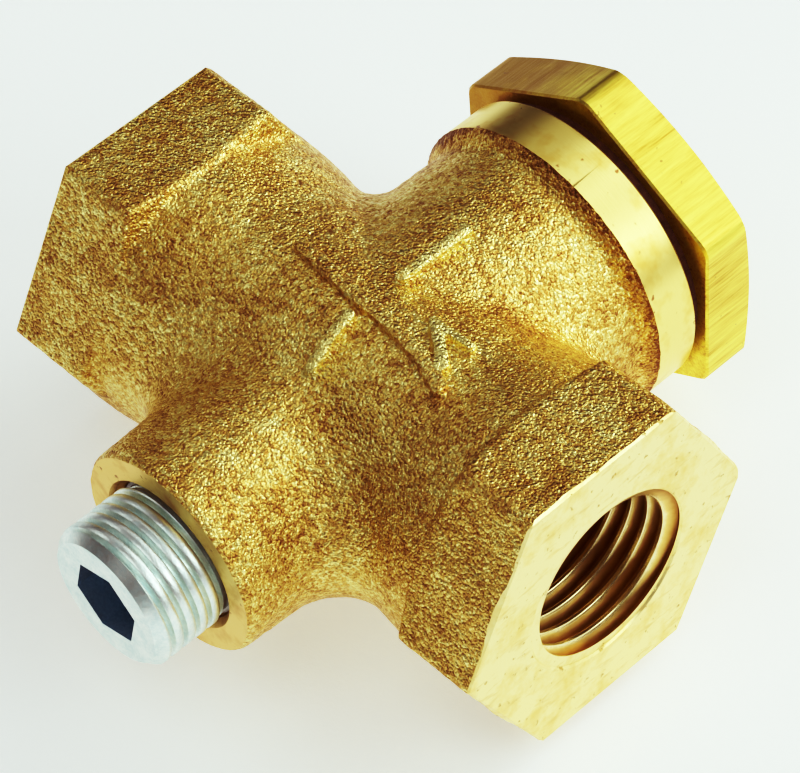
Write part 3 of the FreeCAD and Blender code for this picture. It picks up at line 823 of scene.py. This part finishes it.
def cut_passages(body):
    """The hole in the web and each port's half-round passage: the inlet's on the plug's side of the web."""
    carve(body, turned_cutter(cylinder(SEAT_HOLE, -SEAT_HOLE_REACH, SEAT_HOLE_REACH), "+Y", BORE))
    half = math.acos(WEB / LOWER_BORE)
    arc = [(LOWER_BORE * math.cos(a), LOWER_BORE * math.sin(a)) for a in np.linspace(-half, half, 40)]
    start = HALF_LENGTH - PORT_DEPTH
    for outline, direction in ((arc, "+X"), ([(b, -a) for a, b in arc], "-X")):
        passage = prism_mesh(outline, start - PASSAGE_LENGTH, start + PASSAGE_OVERLAP, direction)
        carve(body, cutter(passage, BORE))


def face_bosses(body):
    """The turned ring with its chamfer, and the small boss's face."""
    beyond, ring_clear, face_clear = 3, 15, 12
    ring = [
        (0, RING_END),
        (RING_RADIUS - RING_CHAMFER, RING_END),
        (RING_RADIUS, RING_END - RING_CHAMFER),
        (RING_RADIUS, RING_START),
        (ring_clear, RING_START),
        (ring_clear, RING_END + beyond),
        (0, RING_END + beyond),
    ]
    carve(body, turned_cutter(ring, "+Y", RING, 192))
    carve(body, turned_cutter(cylinder(face_clear, -DRAIN_FACE, beyond - DRAIN_FACE), "-Y", BOSS_FACE))


def make_valve_body():
    body = cast_skin()
    carve(body, end_envelope(), "INTERSECT")
    face_bosses(body)
    bore_port(body, "+X")
    bore_port(body, "-X")
    bore_for_cap(body)
    bore_for_plug(body)
    cut_passages(body)
    shade(body)
    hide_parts("valve_body")
    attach(body, "body")


# ---------------------------------------------------------------- cap
# half the width across flats, and the circle that the corners are turned down to
CAP_FLATS, CAP_CORNERS = 10.85, 12.3
CAP_HEAD_START, CAP_END = 19.5, 23.5
CORNER_SLOPE = math.tan(math.radians(15))
CAP_PLAY = 0.06
SPIGOT_THREAD = (14.0, 19.0)

# profiles of (radius, height): the threaded spigot's envelope, and the hollow that takes the guide bush
SPIGOT = [(0, 13.4), (7.3, 13.4), (8.3, 14.2), (8.3, 18.9), (7.4, 19.2), (7.4, 20.0), (0, 20.0)]
HOLLOW = [(0, 13.0), (5.6, 13.0), (5.6, 15.4), (4.0, 15.4), (4.0, 21.4), (0, 21.4)]


def cap_head():
    """The hexagon head: corners turned down to a circle and sloped at the top, and slightly broken edges.

    turn is each point's angle from the middle of its flat.
    """
    segments = 240
    low_break, rim_drop, high_break, top_break, top_spread = 0.15, 0.08, 0.1, 0.12, 0.02
    bottom_loop, top_loop = 7.0, 6.0
    angle = np.arange(segments) * 2 * np.pi / segments
    turn = (angle + np.pi / 6) % (np.pi / 3) - np.pi / 6
    edge = np.minimum(CAP_FLATS / np.cos(turn), CAP_CORNERS)
    rim = CAP_END - (edge - CAP_FLATS) * CORNER_SLOPE
    rows = [
        (bottom_loop, CAP_HEAD_START),
        (edge - low_break, CAP_HEAD_START),
        (edge, CAP_HEAD_START + low_break),
        (edge, (CAP_HEAD_START + rim) / 2),
        (edge, rim - rim_drop),
        (edge - high_break, rim),
        (np.minimum(edge, CAP_FLATS + top_spread) - top_break, CAP_END),
        (top_loop, CAP_END),
    ]
    across, up = np.cos(angle + np.pi / 6), np.sin(angle + np.pi / 6)
    loops = [list(zip(radius * across, radius * up, height + 0 * angle)) for radius, height in rows]
    return mesh_object("Cap", *stacked_mesh(loops, CAP_HEAD_START, CAP_END, "+Y"), DRAWN)


def make_cap():
    cap = cap_head()
    shape = [(share, radius - CAP_PLAY) for share, radius in thread_shape(CAP_MINOR, CAP_MAJOR)]
    spigot = cutter(threaded_mesh(shape, CAP_PITCH, *SPIGOT_THREAD, "+Y"), BORE)
    carve(spigot, turned_cutter(SPIGOT, "+Y", BORE), "INTERSECT")
    carve(cap, spigot, "UNION")
    carve(cap, turned_cutter(HOLLOW, "+Y", BORE))
    shade(cap)
    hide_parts("cap")
    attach(cap, "cap")


# ---------------------------------------------------------------- drain plug
PLUG_CREST, PLUG_ROOT = 5.1, 4.55
PLUG_THREAD = (12.0, 22.4)
SOCKET_FLATS, SOCKET_TURN = 5.0, 15
SOCKET_FLOOR, SOCKET_OUTER = 17.6, 23.0

# profile of (radius, height): a chamfered end and the plain shank, then the thread and its chamfer
PLUG = [(0, 11.6), (4.35, 11.6), (4.75, 12.0), (4.75, 17.1)]
PLUG += [(5.1, 17.5), (5.1, 21.95), (4.5, 22.6), (0, 22.6)]


def plug_thread():
    """Rows of an outside thread with wide flat crests and narrow rounded roots."""
    crest = [(0.0, 0), (0.26, 0)]
    root = [(0.34, 0.1), (0.48, 0.92), (0.53, 1), (0.58, 0.92), (0.72, 0.1)]
    rows = crest + root + [(0.80, 0)]
    return [(share, PLUG_CREST - root_shade_and_stain * (PLUG_CREST - PLUG_ROOT)) for share, root_shade_and_stain in rows]


def make_plug():
    thread = threaded_mesh(plug_thread(), PLUG_PITCH, *PLUG_THREAD, "-Y")
    plug = mesh_object("DrainPlug", *thread, ZINC)
    carve(plug, turned_cutter(PLUG, "-Y", ZINC), "INTERSECT")
    corner = SOCKET_FLATS / math.sqrt(3)
    angles = [math.radians(SOCKET_TURN + 60 * k) for k in range(6)]
    hexagon = [(corner * math.cos(a), corner * math.sin(a)) for a in angles]
    carve(plug, cutter(prism_mesh(hexagon, SOCKET_FLOOR, SOCKET_OUTER, "-Y"), SOCKET))
    shade(plug)
    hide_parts("drain_plug")
    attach(plug, "plug")


# ---------------------------------------------------------------- inside
SPRING_LOW, SPRING_HIGH = 6.2, 14.2
SPRING_MEAN, WIRE_RADIUS = 3.4, 0.3
END_TURNS, END_PITCH, ACTIVE_TURNS = 0.9, 0.62, 5.2
GROUND = 0.7


def spring_line():
    """The wire's middle, with a closed turn at each end."""
    low = SPRING_LOW + GROUND * WIRE_RADIUS
    high = SPRING_HIGH - GROUND * WIRE_RADIUS
    end_rise = END_TURNS * END_PITCH
    turns = np.linspace(0, 2 * END_TURNS + ACTIVE_TURNS, 360)
    stops = [0, END_TURNS, END_TURNS + ACTIVE_TURNS, 2 * END_TURNS + ACTIVE_TURNS]
    height = np.interp(turns, stops, [low, low + end_rise, high - end_rise, high])
    angle = 2 * np.pi * turns
    return np.column_stack([SPRING_MEAN * np.cos(angle), height, -SPRING_MEAN * np.sin(angle)])


def make_spring():
    """The return spring, whose ends are ground flat."""
    points, faces = swept_mesh(spring_line(), WIRE_RADIUS, (0, 1, 0))
    points[:, 1] = np.clip(points[:, 1], SPRING_LOW, SPRING_HIGH)
    spring = mesh_object("ReturnSpring", points, faces, WIRE)
    shade(spring, 40)
    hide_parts("return_spring")
    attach(spring, "poppet")
    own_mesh(spring)


TAPE_INNER, TAPE_OUTER = 4.78, 5.05
TAPE_START, TAPE_END = 12.02, 16.58
TAPE_LEAD, TAPE_THICKNESS, TAPE_WRINKLE = 1.5, 0.07, 0.02
TAPE_ROWS, TAPE_COLUMNS = 90, 180


def tape_radius(angle, turn, height):
    """The wound tape's outer radius: each lap falls slowly and ends in a step, with fine wrinkles."""
    lap = ((height + TAPE_LEAD * turn) / TAPE_LEAD) % 1.0
    wrinkle = noise.noise(Vector((2.2 * math.cos(angle), 2.2 * math.sin(angle), 1.5 * height)))
    return TAPE_OUTER - TAPE_THICKNESS * min(lap / 0.9, (1 - lap) / 0.1) + TAPE_WRINKLE * wrinkle


def make_seal_tape():
    """Sealing tape wound on the plug's shank."""
    turns = [column / TAPE_COLUMNS for column in range(TAPE_COLUMNS)]
    points = []
    for row in range(TAPE_ROWS + 1):
        height = TAPE_START + (TAPE_END - TAPE_START) * row / TAPE_ROWS
        for turn in turns:
            angle = 2 * math.pi * turn
            radius = tape_radius(angle, turn, height)
            points.append((radius * math.cos(angle), radius * math.sin(angle), height))
    for height in (TAPE_END, TAPE_START):
        for angle in (2 * math.pi * turn for turn in turns):
            points.append((TAPE_INNER * math.cos(angle), TAPE_INNER * math.sin(angle), height))
    faces = band_faces(TAPE_ROWS + 3, TAPE_COLUMNS, closed=True)
    tape = mesh_object("SealTape", np.array(points) @ axes_along("-Y").T, faces, TAPE)
    shade(tape, 50)
    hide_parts("drain_plug_seal")
    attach(tape, "plug_seal")


def finish_inner_parts():
    """The sub-parts that keep their CAD solids, each with its material."""
    finishes = {
        "seat_ring": SEAT,
        "seat_joint_ring": COPPER,
        "poppet": POPPET,
        "seal_disc": RUBBER,
        "seal_washer": STAINLESS,
        "lock_washer": STAINLESS,
        "seal_screw": STAINLESS,
        "spring_washer": STAINLESS,
        "guide_bush": ACETAL,
        "cap_gasket": FIBRE_AND_GAP_SHADE,
    }
    for name, material in finishes.items():
        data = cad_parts[name].data
        data.materials.clear()
        data.materials.append(material)


# ---------------------------------------------------------------- studio, in millimetres, degrees and watts
CAMERA_AZIMUTH, CAMERA_ELEVATION, CAMERA_ROLL = 50.43, 50.0, -5.25
CAMERA_DISTANCE, CAMERA_LENS, SENSOR_WIDTH = 275.2, 194.6, 36
CAMERA_NEAR = 10
AIM_RIGHT, AIM_UP = 1.807, 0.757
FLOOR_REACH = 900
FLOOR_GLOW = 0.35
WORLD_LIGHT = 0.05
PANEL_DISTANCE, PANEL_SIZE = 400, 240
PANELS = {
    "BackPanel": ((0.30, 0.85, 0.42), 0.60),
    "RightPanel": ((0.80, 0.20, 0.56), 0.43),
    "RightBackPanel": ((0.70, 0.65, 0.30), 0.13),
    "TopBackPanel": ((0.0, 0.60, 0.80), 0.17),
    "TopPanel": ((0.42, 0.41, 0.82), 0.12),
    "LeftBackPanel": ((-0.50, 0.41, 0.77), 0.06),
    "TopFrontPanel": ((0.15, -0.42, 0.90), 0.21),
    "FrontPanel": ((0.0, -0.80, 0.60), 0.04),
    "FrontRightPanel": ((0.60, -0.50, 0.62), 0.04),
    "LeftPanel": ((-0.75, -0.20, 0.62), 0.13),
}

# contrast: each channel's value v is raised to a power and then rolls off as PEAK v / (v + knee)
CURVE_WHITE, CURVE_PEAK = 2.0, 1.1
CURVE_STOPS = (0.0, 0.04, 0.08, 0.12, 0.17, 0.24, 0.32, 0.42, 0.54, 0.7, 1.0)
CHANNEL_CURVES = ((1.71, 0.2825), (2.0, 0.2186), (1.95, 0.2444))


def camera_axes():
    """The direction from the crossing to the camera, and its right and up after the roll."""
    azimuth, elevation, roll = (math.radians(a) for a in (CAMERA_AZIMUTH, CAMERA_ELEVATION, CAMERA_ROLL))
    level = Vector((math.cos(azimuth), math.sin(azimuth), 0))
    ground = Vector((math.sin(azimuth), -math.cos(azimuth), 0))
    back = ground * math.cos(elevation) + Vector((0, 0, math.sin(elevation)))
    upward = back.cross(level)
    right = level * math.cos(roll) + upward * math.sin(roll)
    up = upward * math.cos(roll) - level * math.sin(roll)
    return back, right, up


def make_camera():
    """The camera, aimed a little to the right of the crossing and above it."""
    back, right, up = camera_axes()
    place = CROSSING + back * CAMERA_DISTANCE * MM
    target = CROSSING + (right * AIM_RIGHT + up * AIM_UP) * MM
    ahead = (target - place).normalized()
    right = ahead.cross(up).normalized()
    up = right.cross(ahead)
    camera = bpy.data.objects.new("Camera", bpy.data.cameras.new("Camera"))
    camera.data.lens = CAMERA_LENS
    camera.data.sensor_width = SENSOR_WIDTH
    camera.data.clip_start = CAMERA_NEAR * MM
    camera.matrix_world = Matrix.Translation(place) @ Matrix((right, up, -ahead)).transposed().to_4x4()
    bpy.context.scene.collection.objects.link(camera)
    bpy.context.scene.camera = camera


def floor_paper():
    """White paper with faint fibres, which glows a little so that it stays pale in the shade."""
    f = Finish("FloorPaper", 0.0)
    tone = f.noise(0.02, 3, 0.5)
    fibre = f.noise(2.5, 3, 0.6)
    f.bump(fibre, 0.02)
    f.put(f.surface.inputs["Emission Color"], f.mix(tone, (0.97, 0.97, 0.97), (1.0, 1.0, 1.0)))
    f.put(f.surface.inputs["Emission Strength"], FLOOR_GLOW)
    return f.finish(f.mix(tone, (0.86, 0.86, 0.86), (0.9, 0.9, 0.9)), f.range(fibre, 0.3, 0.7, 0.75, 0.9))


def make_floor():
    low = cad_box[0].z / MM
    corners = ((-1, -1), (1, -1), (1, 1), (-1, 1))
    points = [(FLOOR_REACH * a, FLOOR_REACH * b, low) for a, b in corners]
    floor = mesh_object("Floor", points, [(0, 1, 2, 3)], floor_paper(), closed=False)


def soft_light(name, direction, power):
    """A round soft light that faces the crossing from a direction."""
    light = bpy.data.lights.new(name, "AREA")
    light.shape = "DISK"
    light.size = PANEL_SIZE * MM
    light.energy = power
    lamp = bpy.data.objects.new(name, light)
    lamp.location = CROSSING + Vector(direction).normalized() * PANEL_DISTANCE * MM
    lamp.rotation_euler = (lamp.location - CROSSING).to_track_quat("Z", "Y").to_euler()
    bpy.context.scene.collection.objects.link(lamp)


def set_contrast():
    """A contrasty print: shadows deepen towards brown and highlights roll off to white."""
    view = bpy.context.scene.view_settings
    view.view_transform = "Standard"
    view.use_curve_mapping = True
    mapping = view.curve_mapping
    mapping.white_level = (CURVE_WHITE,) * 3
    for curve, (power, knee) in zip(mapping.curves, CHANNEL_CURVES):
        while len(curve.points) < len(CURVE_STOPS):
            curve.points.new(0.5, 0.5)
        for point, share in zip(curve.points, CURVE_STOPS):
            value = (share * CURVE_WHITE) ** power
            point.location = (share, min(CURVE_PEAK * value / (value + knee), 1.0))
    mapping.update()


def make_studio():
    make_floor()
    world = bpy.data.worlds.new("Studio")
    bpy.context.scene.world = world
    world.use_nodes = True
    sky = world.node_tree.nodes["Background"]
    sky.inputs["Color"].default_value = (1, 1, 1, 1)
    sky.inputs["Strength"].default_value = WORLD_LIGHT
    for name, (direction, power) in PANELS.items():
        soft_light(name, direction, power)
    set_contrast()


# ---------------------------------------------------------------- the model
make_valve_body()
make_cap()
make_plug()
make_spring()
make_seal_tape()
finish_inner_parts()
make_camera()
make_studio()
